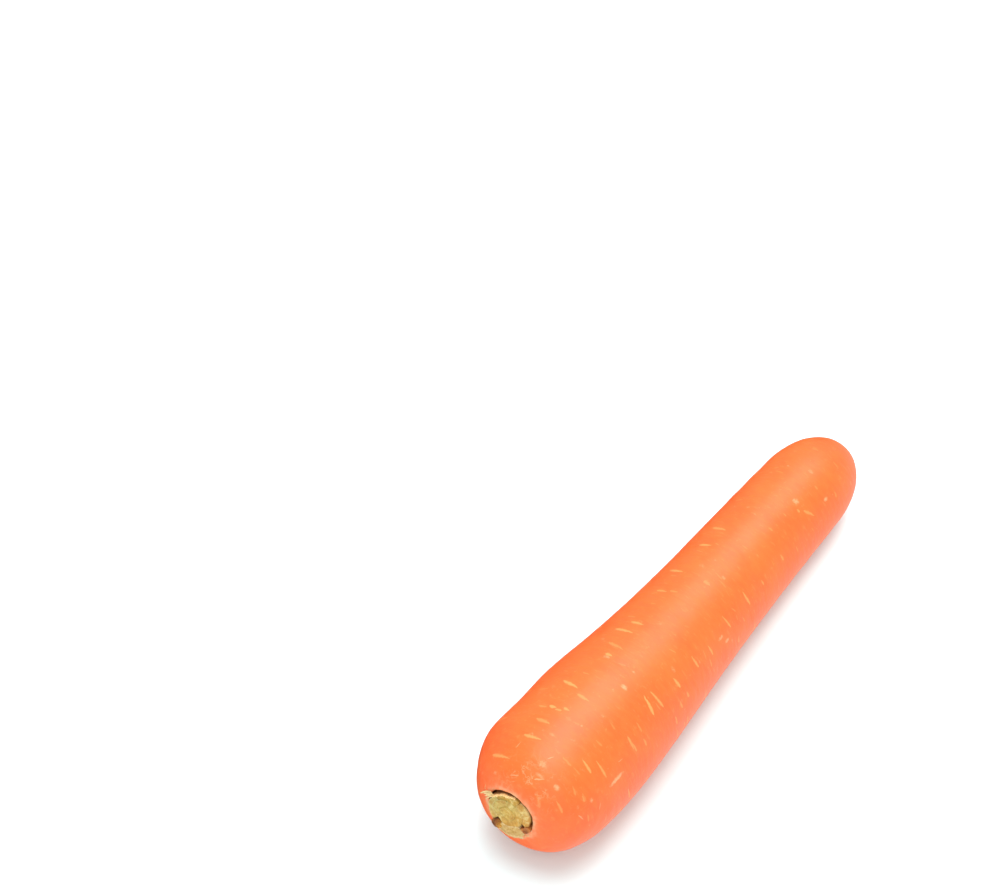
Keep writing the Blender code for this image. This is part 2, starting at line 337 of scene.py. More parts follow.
CENTRE_Y = 0.5 * sum(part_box("carrot_root")[i][1] for i in (0, 1)) - 0.5 * sum(side_reach())
print("crown at x =", round(CROWN_X / MM, 3), "mm, centre line at y =", round(CENTRE_Y / MM, 3), "mm")

# %% [markdown]
# ## Pores, scuffs and creases
#
# A carrot breathes through lenticels: short pale slits that run round the root. Each is a few millimetres
# long and about one wide, fat at one end and drawn out to a tail at the other. Washing leaves whitish
# scuffs, and the skin close to the crown is creased. The clear marks are placed one by one, because no two
# are alike. Smaller pores are strewn over the rest with a fixed seed.

# %% Clear marks
PORES = (
    # mm from the crown, degrees at the fat end, degrees at the tail, width mm, slant mm, paleness
    (7.4, 44, 67, 1.2, -0.3, 0.7), (21.9, 71, 84, 1.7, 0.0, 0.55), (27.2, 65, 72, 1.3, 0.2, 0.55),
    (28.2, 73, 79, 1.5, 0.0, 0.95), (27.9, 84, 79, 1.2, -0.2, 0.65), (29.4, 84, 89, 1.3, 0.0, 0.8),
    (18.0, 134, 121, 1.2, 0.4, 0.7), (21.4, 146, 130, 1.1, 0.2, 0.65), (10.0, 139, 130, 0.9, 0.5, 0.45),
    (2.0, 126, 110, 0.9, 0.7, 0.4), (15.4, 70, 86, 1.5, 0.3, 0.7), (35.9, 136, 148, 1.1, -0.3, 0.65),
    (4.4, 146, 131, 0.9, 0.2, 0.55), (11.0, 149, 143, 0.9, 0.2, 0.55), (36.3, 151, 142, 1.1, 0.0, 0.6),
    (41.0, 155, 148, 1.2, 0.0, 0.55), (42.0, 143, 134, 1.0, 0.2, 0.45), (39.2, 66, 82, 1.5, -0.6, 0.85),
    (36.2, 85, 96, 1.5, -0.2, 0.6), (50.3, 142, 124, 1.4, 0.8, 0.9), (54.3, 144, 126, 1.3, -0.3, 0.7),
    (56.5, 77, 83, 1.6, 0.0, 0.85), (61.3, 70, 86, 1.6, -0.4, 0.5), (64.8, 145, 134, 1.4, -0.2, 0.85),
    (62.0, 161, 154, 1.3, 0.0, 0.6), (66.5, 159, 153, 1.5, 0.0, 0.6), (69.0, 63, 81, 1.4, 0.2, 0.8),
    (74.0, 70, 83, 1.4, 0.2, 0.7), (76.0, 147, 134, 1.2, 0.0, 0.7), (57.5, 169, 160, 1.2, 0.0, 0.6),
    (84.5, 152, 141, 1.1, 0.0, 0.7), (91.5, 63, 74, 1.2, 0.2, 0.75), (92.8, 76, 84, 1.0, 0.4, 0.5),
    (97.0, 149, 133, 0.9, -0.3, 0.7), (102.5, 54, 71, 1.3, 0.1, 0.75), (102.5, 96, 104, 2.2, 0.0, 0.45),
    (109.8, 151, 134, 1.2, 0.0, 0.75), (117.6, 60, 74, 1.2, 0.5, 0.95), (119.5, 149, 143, 1.1, 0.0, 0.6),
    (126.8, 56, 74, 1.5, 0.0, 0.65), (132.5, 149, 141, 1.2, 0.0, 0.6), (136.5, 116, 110, 1.1, 0.0, 0.4),
    (153.3, 127, 144, 1.5, 1.6, 0.6), (150.4, 126, 121, 1.2, 0.0, 0.6), (177.0, 83, 92, 2.0, 0.0, 0.35),
    (99.0, 174, 167, 1.2, 0.0, 0.6), (35.0, 50, 59, 1.1, 0.2, 0.4), (143.0, 51, 61, 1.0, 0.2, 0.4),
    (160.5, 70, 79, 1.1, 0.0, 0.3), (168.0, 150, 142, 1.1, 0.2, 0.45), (140.5, 158, 150, 1.0, 0.0, 0.4),
    (82.0, 160, 151, 1.1, 0.2, 0.45), (14.5, 118, 108, 1.0, 0.2, 0.4),
)
SCUFFS = (
    # mm from the crown, degrees, half length along mm, half width round mm, whiteness
    (24.4, 154.5, 3.1, 0.65, 0.85), (6.9, 121.5, 0.7, 1.0, 0.72), (9.4, 98.5, 1.1, 1.6, 0.6),
    (18.9, 90.0, 0.7, 0.9, 0.5), (34.7, 111.0, 0.7, 0.8, 0.4), (6.5, 103.0, 0.6, 1.6, 0.55),
    (3.8, 113.0, 0.5, 1.7, 0.6), (48.3, 109.0, 0.8, 1.2, 0.75), (45.0, 104.0, 0.7, 1.1, 0.35),
    (91.0, 147.0, 1.4, 0.55, 0.65), (93.2, 155.5, 1.4, 0.6, 0.7), (152.5, 114.0, 1.1, 1.1, 0.7),
    (163.0, 140.0, 1.0, 0.6, 0.75), (78.0, 93.0, 0.9, 1.0, 0.4), (183.0, 104.0, 1.2, 1.2, 0.35),
    (175.5, 107.0, 1.2, 1.2, 0.3), (13.0, 152.0, 0.6, 0.9, 0.6), (33.0, 114.0, 0.6, 1.0, 0.35),
    (37.4, 105.0, 0.6, 0.9, 0.4), (31.0, 120.0, 0.6, 0.9, 0.35), (16.2, 76.0, 0.6, 0.6, 0.45),
    (18.8, 82.5, 0.6, 0.6, 0.4), (108.0, 84.0, 0.9, 1.1, 0.4), (129.0, 99.0, 0.9, 1.1, 0.25),
)
CREASES = (
    # mm from the crown, degrees, length mm, width mm, heading in degrees (0 along, 90 round), whiteness
    (5.6, 104.0, 3.0, 0.5, 60.0, 0.65), (8.8, 108.0, 2.4, 0.45, -50.0, 0.5),
    (5.0, 92.0, 2.6, 0.45, 75.0, 0.55), (8.2, 88.0, 2.2, 0.5, -65.0, 0.55),
    (3.6, 78.0, 3.0, 0.4, 80.0, 0.45), (12.4, 101.0, 2.0, 0.5, 35.0, 0.4),
    (3.4, 124.0, 2.6, 0.4, -75.0, 0.45), (8.0, 161.0, 2.6, 0.5, 70.0, 0.45),
    (15.0, 163.0, 2.4, 0.5, -60.0, 0.35), (11.5, 70.0, 2.2, 0.45, 20.0, 0.35),
    (5.2, 62.0, 2.8, 0.45, 70.0, 0.4), (29.0, 145.0, 2.2, 0.45, 10.0, 0.35),
    (6.2, 175.0, 2.6, 0.45, 80.0, 0.4),
)
print(len(PORES), "clear pores,", len(SCUFFS), "scuffs,", len(CREASES), "creases")

# %% [markdown]
# ## A mark's own coordinates
#
# A mark one millimetre wide is hardly wider than a face of the skin, so a mask stored on the points would
# come out jagged. Each point keeps its own place in the nearest mark instead: how far along it, and how far
# across, where 1 is the mark's edge. Those numbers change evenly from point to point, so the shader can
# draw a sharp outline between the points. Marks that lie close together go into different layers.


# %% Places in the nearest mark
LAYER_GAP = 3.0 * MM
FADE_END, FADE_OVER = 1.3 * MM, 0.4 * MM
SLIT_COUNT, SPOT_COUNT, LINE_COUNT = 4, 2, 1  # layers for pores, scuffs and creases


def as_marks(pores, scuffs, creases):
    """Each table as rows of (x, angle, half length, half width, heading, strength), in metres and radians.
    A mark's length runs from its fat end at -1 to its tail at +1."""
    slits, spots, lines = [], [], []
    for x, fat, tail, width, slant, pale in pores:
        half = 0.5 * math.radians(tail - fat) * root_radius(x * MM)
        turn, heading = math.radians(0.5 * (fat + tail)), math.atan2(half, slant * MM)
        slits.append((x * MM, turn, abs(half), 0.5 * width * MM, heading, pale))
    for x, turn, long, wide, white in scuffs:
        spots.append((x * MM, math.radians(turn), long * MM, wide * MM, 0.0, white))
    for x, turn, long, wide, heading, white in creases:
        half = 0.5 * long * MM
        lines.append((x * MM, math.radians(turn), half, 0.5 * wide * MM, math.radians(heading), white))
    return slits, spots, lines


def far_apart(one, other):
    """Whether two marks leave more than LAYER_GAP of plain skin between them, along the root or round it."""
    reach = [(abs(m[2] * math.cos(m[4])) + m[3], abs(m[2] * math.sin(m[4])) + m[3]) for m in (one, other)]
    along = abs(one[0] - other[0]) - reach[0][0] - reach[1][0]
    turn = (one[1] - other[1] + math.pi) % math.tau - math.pi
    around = abs(turn) * root_radius(one[0]) - reach[0][1] - reach[1][1]
    return along > LAYER_GAP or around > LAYER_GAP


def in_layers(marks, count):
    """Share marks between layers, with those of a layer far apart. One that fits nowhere is dropped."""
    layers = [[] for _ in range(count)]
    for mark in marks:
        free = [layer for layer in layers if all(far_apart(mark, other) for other in layer)]
        if free:
            free[0].append(mark)
    print("marks in layers:", [len(layer) for layer in layers], "of", len(marks))
    return layers


def places(x, angle, radius, marks):
    """For each point, (along / half length, across / half width, strength) in the nearest mark. Strength
    fades to 0 over the last FADE_OVER before FADE_END outside the mark."""
    nearest = np.full(x.shape, 1e3)
    place = np.zeros((*x.shape, 3))
    for centre, turn, half_length, half_width, heading, strength in marks:
        dx = x - centre
        round_by = between(angle, turn) * radius
        along = (dx * math.cos(heading) + round_by * math.sin(heading)) / half_length
        across = (round_by * math.cos(heading) - dx * math.sin(heading)) / half_width
        over, aside = (np.maximum(np.abs(share) - 1.0, 0.0) for share in (along, across))
        gap = np.hypot(over * half_length, aside * half_width)
        closer = gap < nearest
        nearest = np.where(closer, gap, nearest)
        fade = np.clip((FADE_END - gap) / FADE_OVER, 0.0, 1.0)
        place[closer] = np.stack([along, across, strength * fade], axis=-1)[closer]
    return place


CLEAR_SIDE = (40.0, 176.0)  # degrees


def strewn_pores(count, seed, lengths, widths, paleness, all_round):
    """Random pores in the form of the clear ones, all round or only off CLEAR_SIDE, which those cover."""
    source = np.random.default_rng(seed)
    made = []
    while len(made) < count:
        centre = source.uniform(5.0, 187.0)
        middle = source.uniform(0.0, 360.0)
        length = source.uniform(*lengths) * (1.0 if centre < 120.0 else 0.7)
        width, slant = source.uniform(*widths), source.uniform(-0.5, 0.5)
        pale = source.uniform(*paleness)
        half = math.degrees(0.5 * length * MM / root_radius(centre * MM))
        half = half if 90.0 < middle < 270.0 else -half
        if all_round or not CLEAR_SIDE[0] < middle < CLEAR_SIDE[1]:
            made.append((centre, middle + half, middle - half, width, slant, pale))
    return tuple(made)


def strewn_scuffs(count, seed):
    """Small faint scuffs and flecks all over, in the same form as the clear ones."""
    source = np.random.default_rng(seed)
    made = []
    for _ in range(count):
        size = source.uniform(0.25, 0.7)
        place = (source.uniform(3.0, 188.0), source.uniform(0.0, 360.0))
        made.append((*place, size, size * source.uniform(0.8, 1.8), source.uniform(0.2, 0.6)))
    return tuple(made)


bold_pores = strewn_pores(120, 11, (2.0, 7.5), (0.8, 1.4), (0.35, 0.95), False)
faint_pores = strewn_pores(150, 13, (1.2, 3.4), (0.6, 1.1), (0.15, 0.45), True)
slits, spots, lines = as_marks(PORES + bold_pores + faint_pores, SCUFFS + strewn_scuffs(170, 12), CREASES)
SLIT_LAYERS = in_layers(slits, SLIT_COUNT)
SPOT_LAYERS = in_layers(spots, SPOT_COUNT)
LINE_LAYERS = in_layers(lines, LINE_COUNT)

# %% [markdown]
# ## The root's fine skin
#
# Rows run from the tip to the crown, over the rim of the recess, down its wall and across its floor. On the
# body a row is a ring at one distance from the crown. On the crown the rings have to shift sideways,
# because the leaf-stalks stand off centre, so each ring there is a blend of the last body ring and the
# recess's mouth, laid onto the dome.

# %% Rings of the skin
RECESS = (0.00288, 0.00113)
MOUTH_EDGE = (
    # degrees round the recess, mm: close to the stalks at the left, off them at the top and right
    (0.0, 7.15), (20.0, 7.6), (45.0, 7.9), (65.0, 8.35), (90.0, 8.65), (160.0, 8.75), (180.0, 8.65),
    (215.0, 8.7), (240.0, 8.5), (270.0, 8.45), (290.0, 8.4), (310.0, 8.0), (330.0, 7.35), (345.0, 7.1),
)
RECESS_DEPTH = 0.0052
LIP = 0.0008
JOIN_X = 0.0065
COLUMNS = 162
RING_STEP = 0.39 * MM  # along the root, where a pore is narrow; round it the columns are 0.9 mm apart
CROWN_ROWS, LIP_ROWS, WALL_ROWS, FLOOR_ROWS = 26, 9, 8, 4
DOME_REACH = 0.024  # how far from the crown the outline is still a dome of growing radius


def waves(angle, *terms):
    """Sum of size * sin(turns * angle + phase), each term given as (size, turns, phase)."""
    return sum(size * np.sin(turns * angle + phase) for size, turns, phase in terms)


def polar(radius, angle):
    """Sideways and upward parts of a radius at an angle."""
    return radius * np.cos(angle), radius * np.sin(angle)


def round_table(angle, table):
    """Value of a (degrees, mm) table at an angle, in metres: the mean of five readings 5 degrees apart."""
    degrees, values = zip(*table)
    turn = np.degrees(angle)
    readings = (np.interp(turn + 5.0 * step, degrees, values, period=360.0) for step in range(-2, 3))
    return MM * sum(readings) / 5.0


def dome_x(across, up):
    """Distance from the crown at which the skin has this radius: the outline read backwards, four times over
    so that the swelling at that place is taken off first."""
    table = np.linspace(0.0, DOME_REACH, 4000)
    radius = root_radius(table)
    reach = np.hypot(across, up)
    angle = np.arctan2(up, across)
    x = np.interp(reach, radius, table)
    for _ in range(4):
        x = np.interp(reach - swelling(x, angle), radius, table)
    return x


def body_rings(angle, spacing):
    """Rings at even steps of arc length from the tip to the join: (x, across, up)."""
    x = 0.5 * ROOT_LENGTH * (1.0 - np.cos(np.linspace(0.0, np.pi, 6000)))
    radius = root_radius(x)
    length = np.concatenate([[0.0], np.cumsum(np.hypot(np.diff(x), np.diff(radius)))])
    start = np.interp(JOIN_X, x, length)
    count = int((length[-1] - start) / spacing)
    stations = np.interp(np.linspace(length[-1] - 0.5 * spacing, start, count), length, x)
    rings, turn = np.meshgrid(stations, angle, indexing="ij")
    radius = root_radius(rings) + swelling(rings, turn)
    return rings, *polar(radius, turn)


def crown_rings(angle, last_across, last_up):
    """Rings from the last body ring to the lip: position is a blend, and x is read off the dome."""
    share = np.linspace(0.0, 1.0, CROWN_ROWS + 1)[1:, None]
    mouth = mouth_edge(angle) + LIP
    across = (1.0 - share) * last_across + share * (RECESS[0] + mouth * np.cos(angle))
    up = (1.0 - share) * last_up + share * (RECESS[1] + mouth * np.sin(angle))
    return dome_x(across, up), across, up


def mouth_edge(angle):
    """Radius of the recess's mouth, a little uneven."""
    uneven = waves(angle, (0.00010, 3.0, 0.7), (0.00008, 7.0, 2.1), (0.00005, 17.0, 0.0))
    return round_table(angle, MOUTH_EDGE) + uneven


def recess_rings(angle):
    """Quarter-round lip, then a wall that narrows by a twentieth, then a flat floor."""
    turn = np.linspace(0.0, 0.5 * np.pi, LIP_ROWS + 1)[1:, None]
    mouth = mouth_edge(angle)
    lip_radius = mouth + LIP * (1.0 - np.sin(turn))
    across = RECESS[0] + lip_radius * np.cos(angle)
    up = RECESS[1] + lip_radius * np.sin(angle)
    lip_x = dome_x(across, up) + LIP * (1.0 - np.cos(turn))
    down = np.linspace(0.0, 1.0, WALL_ROWS + 1)[1:, None]
    wall_radius = mouth * (1.0 - 0.05 * down)
    wall_x = lip_x[-1] * (1.0 - down) + RECESS_DEPTH * down
    floor_radius = wall_radius[-1] * np.linspace(1.0, 0.05, FLOOR_ROWS + 1)[1:, None]
    radius = np.concatenate([wall_radius, floor_radius])
    x = np.concatenate([wall_x, np.full_like(floor_radius, RECESS_DEPTH)])
    across = np.concatenate([across, RECESS[0] + radius * np.cos(angle)])
    up = np.concatenate([up, RECESS[1] + radius * np.sin(angle)])
    return np.concatenate([lip_x, x]), across, up


ANGLE = np.linspace(0.0, math.tau, COLUMNS, endpoint=False)
body = body_rings(ANGLE, RING_STEP)
crown = crown_rings(ANGLE, body[1][-1], body[2][-1])
hollow = recess_rings(ANGLE)
SKIN_X, SKIN_ACROSS, SKIN_UP = (np.concatenate(parts) for parts in zip(body, crown, hollow))
print("rings: body", len(body[0]), "crown", len(crown[0]), "recess", len(hollow[0]))

# %% [markdown]
# ## Relief of the skin
#
# The rings give a smooth skin. It is lifted and sunk along its normals by a few hundredths of a millimetre:
# broad waves, finer ones, and a wrinkled shoulder. Inside the recess there is no relief. The points also
# get numbers that the finish reads: how far over the lip they are, how close to the crown, and the tail's
# scar.


# %% Build the skin
COLLAR_WIDTH, LIP_BAND_WIDTH = 3.2 * MM, 0.9 * MM
CROWN_ZONE = 0.02
SCAR_DEPTH = 0.00011
BODY_ROWS = 400  # rows of plain body, enough to tell which way the normals point


def bell(distance, width):
    """exp(-(distance / width)^2): 1 at distance 0, and nearly 0 from two widths on."""
    return np.exp(-((distance / width) ** 2))


def ripple(x, angle, seed, count, per_metre, round_turns):
    """Sum of count sine waves with random pitch and phase: a smooth, repeatable unevenness about 0."""
    source = np.random.default_rng(seed)
    total = np.zeros_like(x)
    for _ in range(count):
        pitch = source.uniform(*per_metre)
        turns = int(source.integers(*round_turns)) * (1 if source.random() < 0.5 else -1)
        total += np.sin(math.tau * pitch * x + turns * angle + source.uniform(0.0, math.tau))
    return total / math.sqrt(count)


def skin_numbers():
    """Relief in metres and the named numbers of every point of the skin."""
    angle = np.arctan2(SKIN_UP, SKIN_ACROSS)
    radius = np.hypot(SKIN_ACROSS, SKIN_UP)
    outside = len(body[0]) + len(crown[0])
    inner = np.zeros_like(SKIN_X)
    inner[outside:] = 1.0
    inner[outside : outside + LIP_ROWS] = np.linspace(0.0, 1.0, LIP_ROWS)[:, None]
    off, high = SKIN_ACROSS - RECESS[0], SKIN_UP - RECESS[1]
    from_rim = np.hypot(off, high) - mouth_edge(np.arctan2(high, off)) - LIP
    # collar pales the skin near the rim; the narrow band along the lip is paler skin with a painted highlight
    # on it.
    collar, rind = (
        bell(np.maximum(from_rim, 0.0), width) * (SKIN_X < CROWN_ZONE) for width in (COLLAR_WIDTH, LIP_BAND_WIDTH)
    )
    crown_top = np.exp(-(((SKIN_X - 0.0035) / 0.0052) ** 2) - (between(angle, 1.72) / 0.62) ** 2)
    skin = 1.0 - inner
    shoulder = bell(SKIN_X, 0.022)
    relief = 0.035 * MM * ripple(SKIN_X, angle, 3, 14, (30.0, 110.0), (1, 6))
    relief += 0.012 * MM * ripple(SKIN_X, angle, 4, 18, (180.0, 420.0), (0, 9))
    relief += 0.035 * MM * shoulder * ripple(SKIN_X, angle, 5, 12, (120.0, 300.0), (2, 16))
    scar = bell(ROOT_LENGTH - SKIN_X, SCAR_DEPTH)
    numbers = {"inner": inner, "collar": collar, "rind": rind, "crown_top": crown_top, "scar": scar}
    for kind, layers in (("pore", SLIT_LAYERS), ("scuff", SPOT_LAYERS), ("crease", LINE_LAYERS)):
        for number, layer in enumerate(layers):
            place = places(SKIN_X, angle, radius, layer)
            place[..., 2] *= skin
            numbers[f"{kind}_{number}"] = place
    return relief * skin, numbers


relief, numbers = skin_numbers()
skin_points = in_place(SKIN_X, SKIN_ACROSS, SKIN_UP)
normals = outward(skin_points)
away = skin_points - in_place(SKIN_X, 0.0 * SKIN_X, 0.0 * SKIN_X)
facing = np.sign((normals[:BODY_ROWS] * away[:BODY_ROWS]).sum())
skin_points = skin_points + normals * facing * relief[..., None]
skin_points[..., 2] = np.maximum(skin_points[..., 2], 0.0)
low, high = (getattr(skin_points.reshape(-1, 3), end)(axis=0) / MM for end in ("min", "max"))
print("skin box in mm:", np.round(low, 2), np.round(high, 2))

# %% [markdown]
# ## The skin's finish
#
# Carrot skin is a damp, waxy orange. Under the wax the flesh mottles between a yellower and a redder
# orange. Pores are straw coloured and dry, scuffs and creases are pinkish white, and the skin pales towards
# the rim. A thin band along the lip is paler still: partly its own colour, partly a painted highlight. Over
# the lip it turns dark brown: old tissue, with painted shade for the hollow. The shine is broad and soft, so
# the roughness stays near the middle. Each mark's outline is drawn from its own coordinates: a slit is as
# wide as the square root of 1 - along^2, more at its fat end than at its tail.


# %% Marks in the shader
def mark_place(start, name, wobble):
    """Along, across and strength of a mark layer; wobble is added to across, so that edges are ragged."""
    vector = start.node("ShaderNodeAttribute", {"attribute_name": name}, out="Vector")
    return vector.axis("X"), vector.axis("Y") + wobble, vector.axis("Z")


def slit_mask(start, name, wobble):
    """strength * (1 - across^2 / room), where room = (1 - along^2) * (1 - 0.4 along)^2, kept above 0."""
    along, across, strength = mark_place(start, name, wobble)
    room = (1.0 - along * along).most(0.0001)
    taper = (1.0 - along * 0.40).most(0.2)
    share = across * across / (room * taper * taper)
    return ((1.0 - share) * strength).most(0.0)


def spot_mask(start, name, wobble):
    """strength * (1 - (along^2 + across^2) / 2.4), kept above 0: a soft round patch."""
    along, across, strength = mark_place(start, name, wobble)
    share = (along * along + across * across) * (1.0 / 2.4)
    return ((1.0 - share) * strength).most(0.0)


def strongest(masks):
    """The greatest of several masks."""
    total = masks[0]
    for mask in masks[1:]:
        total = total.most(mask)
    return total


# %% Orange skin
def make_skin_finish():
    material, start = new_finish("waxy_orange")
    place = place_of(start)
    ringed = place_of(start, (2.6, 1.0, 1.0))
    broad = noise(place, 60.0, 2.0).rise(0.35, 0.65)
    mottle = noise(ringed, 260.0, 4.0, 0.6).rise(0.38, 0.68)
    grain = noise(ringed, 1500.0, 3.0, 0.6)
    ragged = (noise(place, 1100.0, 2.0) - 0.5) * 1.1
    base = broad.mix((0.93, 0.102, 0.007), (0.94, 0.118, 0.010))
    base = (mottle * 0.35).mix(base, (0.95, 0.150, 0.017))

    pore = strongest([slit_mask(start, f"pore_{i}", ragged) for i in range(SLIT_COUNT)])
    pale = pore.rise(0.0, 0.90)
    base = (pale * 0.95).mix(base, (0.96, 0.275, 0.070))

    collar = attribute(start, "collar")
    blotch = noise(place, 500.0, 3.0, 0.6).rise(0.40, 0.62)
    base = (collar * (0.25 + blotch * 0.45)).mix(base, (0.95, 0.200, 0.065))

    flecks = noise(place, 800.0, 2.0, 0.5).rise(0.64, 0.76)
    dashes = noise(place_of(start, (3.2, 1.0, 1.0)), 330.0, 2.0, 0.5).rise(0.60, 0.74)
    thread = noise(place, 520.0, 3.0, 0.55) - 0.5
    squiggle = (1.0 - thread.maths("ABSOLUTE", thread) * 22.0).most(0.0)
    worn_top = attribute(start, "crown_top") * noise(place, 240.0, 2.0).rise(0.42, 0.60)
    scuff = strongest([spot_mask(start, f"scuff_{i}", ragged) for i in range(SPOT_COUNT)])
    scraped = (scuff - (1.0 - noise(place, 1500.0, 3.0)) * 0.75).rise(-0.15, 0.55)
    crease = slit_mask(start, "crease_0", ragged * 1.6).rise(0.0, 0.55)
    worn = strongest([scraped, crease * 0.8, squiggle * worn_top * 0.8])
    base = (dashes * 0.22).mix(base, (0.96, 0.24, 0.060))
    base = (flecks * 0.22).mix(base, (0.96, 0.25, 0.06))
    base = (worn * 0.80).mix(base, (0.97, 0.36, 0.17))

    inner = attribute(start, "inner")
    # A pale band along the lip: paler skin, and a painted highlight where the lip catches light.
    rind = attribute(start, "rind") * (0.35 + blotch * 0.65)
    base = (rind * 0.95).mix(base, (0.80, 0.35, 0.17))
    # Over the lip and inside the recess the skin turns dark brown: old tissue, and painted shade for the
    # hollow.
    base = inner.rise(0.45, 0.97).mix(base, (0.30, 0.085, 0.016))
    scar = (attribute(start, "scar") - blotch * 0.35).rise(0.1, 0.7)
    base = (scar * 0.85).mix(base, (0.36, 0.105, 0.022))

    rough = 0.42 + mottle * 0.06 + pale * 0.10 + worn * 0.12 + inner * 0.3
    height = grain * 0.5 + mottle * 0.5 - pale * 0.9 + worn * 0.5
    finish_with(start, base, rough, 0.5, height, 0.00012, 0.5)
    return material


root_skin = close_grids("root_skin", [skin_points], make_skin_finish(), {k: [v] for k, v in numbers.items()})
stand_for(root_skin, "carrot_root")

# %% [markdown]
# ## Cut leaf-stalks in the crown
#
# A carrot's leaves grow from its crown in a whorl, each stalk's base wrapping the younger ones like an
# onion's scales. A knife went through all of them at once, so what is left is a plug of crescents round a
# small heart, with one common cut face. The face is torn and fibrous, tilts a little, and turns brown near
# its
# edges: partly bruising, partly painted shade on the lower right and down its sides.

# %% The cut face and the boundaries between stalks
CUT_TILT = 0.123
STALK_FOOT = 0.0049
SEAM = 0.000012
PLUG_EDGE = (
    # degrees, mm: how far the cut stalks reach from the recess's centre line
    (0.0, 6.75), (20.0, 6.95), (45.0, 6.65), (75.0, 6.9), (100.0, 7.3), (130.0, 7.6), (165.0, 7.7),
    (195.0, 7.6), (225.0, 7.9), (250.0, 8.1), (270.0, 8.2), (288.0, 8.1), (305.0, 7.7),
    (325.0, 7.0), (345.0, 6.7),
)


RECESS_Y, RECESS_Z = CENTRE_Y + RECESS[0], AXIS_HEIGHT + RECESS[1]


def recess_place(x, across, up):
    """Points given from the recess's own centre line, moved into the frame."""
    return np.stack([CROWN_X + x, RECESS_Y + across, RECESS_Z + up], axis=-1)


def rim_x(across, up):
    """X, from the crown's plane, of the skin at a place given from the recess's centre line."""
    off, high = RECESS[0] + across, RECESS[1] + up
    x = dome_x(off, high)
    fade = (1.0 - np.clip(x / CROWN_REACH, 0.0, 1.0)) ** 2
    return x + CROWN_LEAN * fade * (LEAN_SIDE[0] * off + LEAN_SIDE[1] * high)


def tearing(across, up, seed, count, pitch, size):
    """Sum of count plane waves of random direction across the cut face: an unevenness of about size."""
    source = np.random.default_rng(seed)
    total = np.zeros_like(across)
    for _ in range(count):
        turn, ridges = source.uniform(0.0, math.tau), source.uniform(*pitch)
        along = across * math.cos(turn) + up * math.sin(turn)
        total += np.sin(math.tau * ridges * along + source.uniform(0.0, math.tau))
    return size * total / math.sqrt(count)


def cut_face(across, up):
    """Height of the knife's cut: a tilted plane, plus slow waves and fine ones where the stalks tore."""
    plane = CUT_TILT * (LEAN_SIDE[0] * across + LEAN_SIDE[1] * up)
    plane = plane + tearing(across, up, 21, 8, (90.0, 220.0), 0.00016)
    return plane + tearing(across, up, 22, 12, (400.0, 900.0), 0.00004)


def heart_edge(angle):
    return 0.0025 + waves(angle, (0.00022, 2.0, 1.0), (0.00010, 5.0, 0.3))


def inner_edge(angle):
    return 0.00505 + waves(angle, (0.00025, 2.0, 0.4), (0.00012, 5.0, 2.0))


def outer_edge(angle):
    return round_table(angle, PLUG_EDGE) + waves(
        angle, (0.00010, 5.0, 0.9), (0.00007, 11.0, 0.0), (0.00004, 29.0, 0.0)
    )


print("cut face tilt", round(math.degrees(math.atan(CUT_TILT)), 1), "degrees")

# %% [markdown]
# ## A crescent stalk
#
# A crescent is a tube bent round the heart: its rows run along the arc and its columns run round the
# section. The section is a slab that reaches from the cut face almost to the recess's floor. Its thickness
# shrinks at both ends of the arc by a superellipse, which rounds the crescent's ends in plan.


# %% Crescents
ARC_ROWS, ARC_END = 72, 0.985
FACE_COLUMNS = 29
HEART_COLUMNS, HEART_WALL, HEART_FACE = 72, 8, 24
WHORL_PITCH = 0.00095


def section(count):
    """Closed outline of the slab: across the face from -1 to 1, down the outer wall and up the inner wall.
    Gives sideways share, depth share, and how near the wall each point is."""
    across = np.sin(0.5 * np.pi * np.linspace(-1.0, 1.0, count))
    down = np.array([0.04, 0.10, 0.22, 0.45, 0.72, 1.0])
    side = np.concatenate([across, 1.0 - 0.05 * down, -1.0 + 0.05 * down[::-1]])
    depth = np.concatenate([0.0 * across, down, down[::-1]])
    near = np.concatenate([0.5 * np.abs(across) ** 3, 0.5 + 0.5 * down, 0.5 + 0.5 * down[::-1]])
    return side, depth, near


def crescent(start, end, inside, outside, seed, proud, flare, fall):
    """Rows along the arc from start to end degrees; inside and outside give the two edges at an angle. proud
    lifts the face, a slow wave of its own tips and dishes it, flare bends its outer edge outwards, and fall
    rounds that edge off downwards."""
    middle, half_turn = math.radians(0.5 * (start + end)), math.radians(0.5 * (end - start))
    share = np.sin(0.5 * np.pi * np.linspace(-ARC_END, ARC_END, ARC_ROWS))[:, None]
    angle = middle + half_turn * share
    near_edge, far_edge = inside(angle) + SEAM, outside(angle) - SEAM
    half = 0.5 * (far_edge - near_edge) * (1.0 - np.abs(share) ** 60) ** (1.0 / 2.2)
    side, depth, near = section(FACE_COLUMNS)
    bent = flare * (1.0 - share**24) * np.clip(side, 0.0, 1.0) ** 3
    bent = bent * np.clip(1.0 - depth / 0.35, 0.0, 1.0) ** 2
    uneven = 1.0 + waves(angle, (0.06, 23.0, 0.0), (0.06, 57.0, 0.0))
    radius = 0.5 * (near_edge + far_edge) + half * side + bent * uneven
    across, up = polar(radius, angle)
    edge = np.where(depth > 0.0, 1.0, np.clip((np.abs(side) - 0.80) / 0.20, 0.0, 1.0) ** 2)
    dish = 0.00010 * (1.0 - side**2) + tearing(across, up, seed, 5, (120.0, 260.0), 0.00007)
    face = cut_face(across, up) - proud + dish + np.minimum(0.00004, 0.4 * half) * edge + 0.35 * bent
    face = face + fall * np.clip((side + 0.1) / 1.1, 0.0, 1.0) ** 2
    x = face + (STALK_FOOT - face) * depth
    return recess_place(x, across, up), np.broadcast_to(near, x.shape)


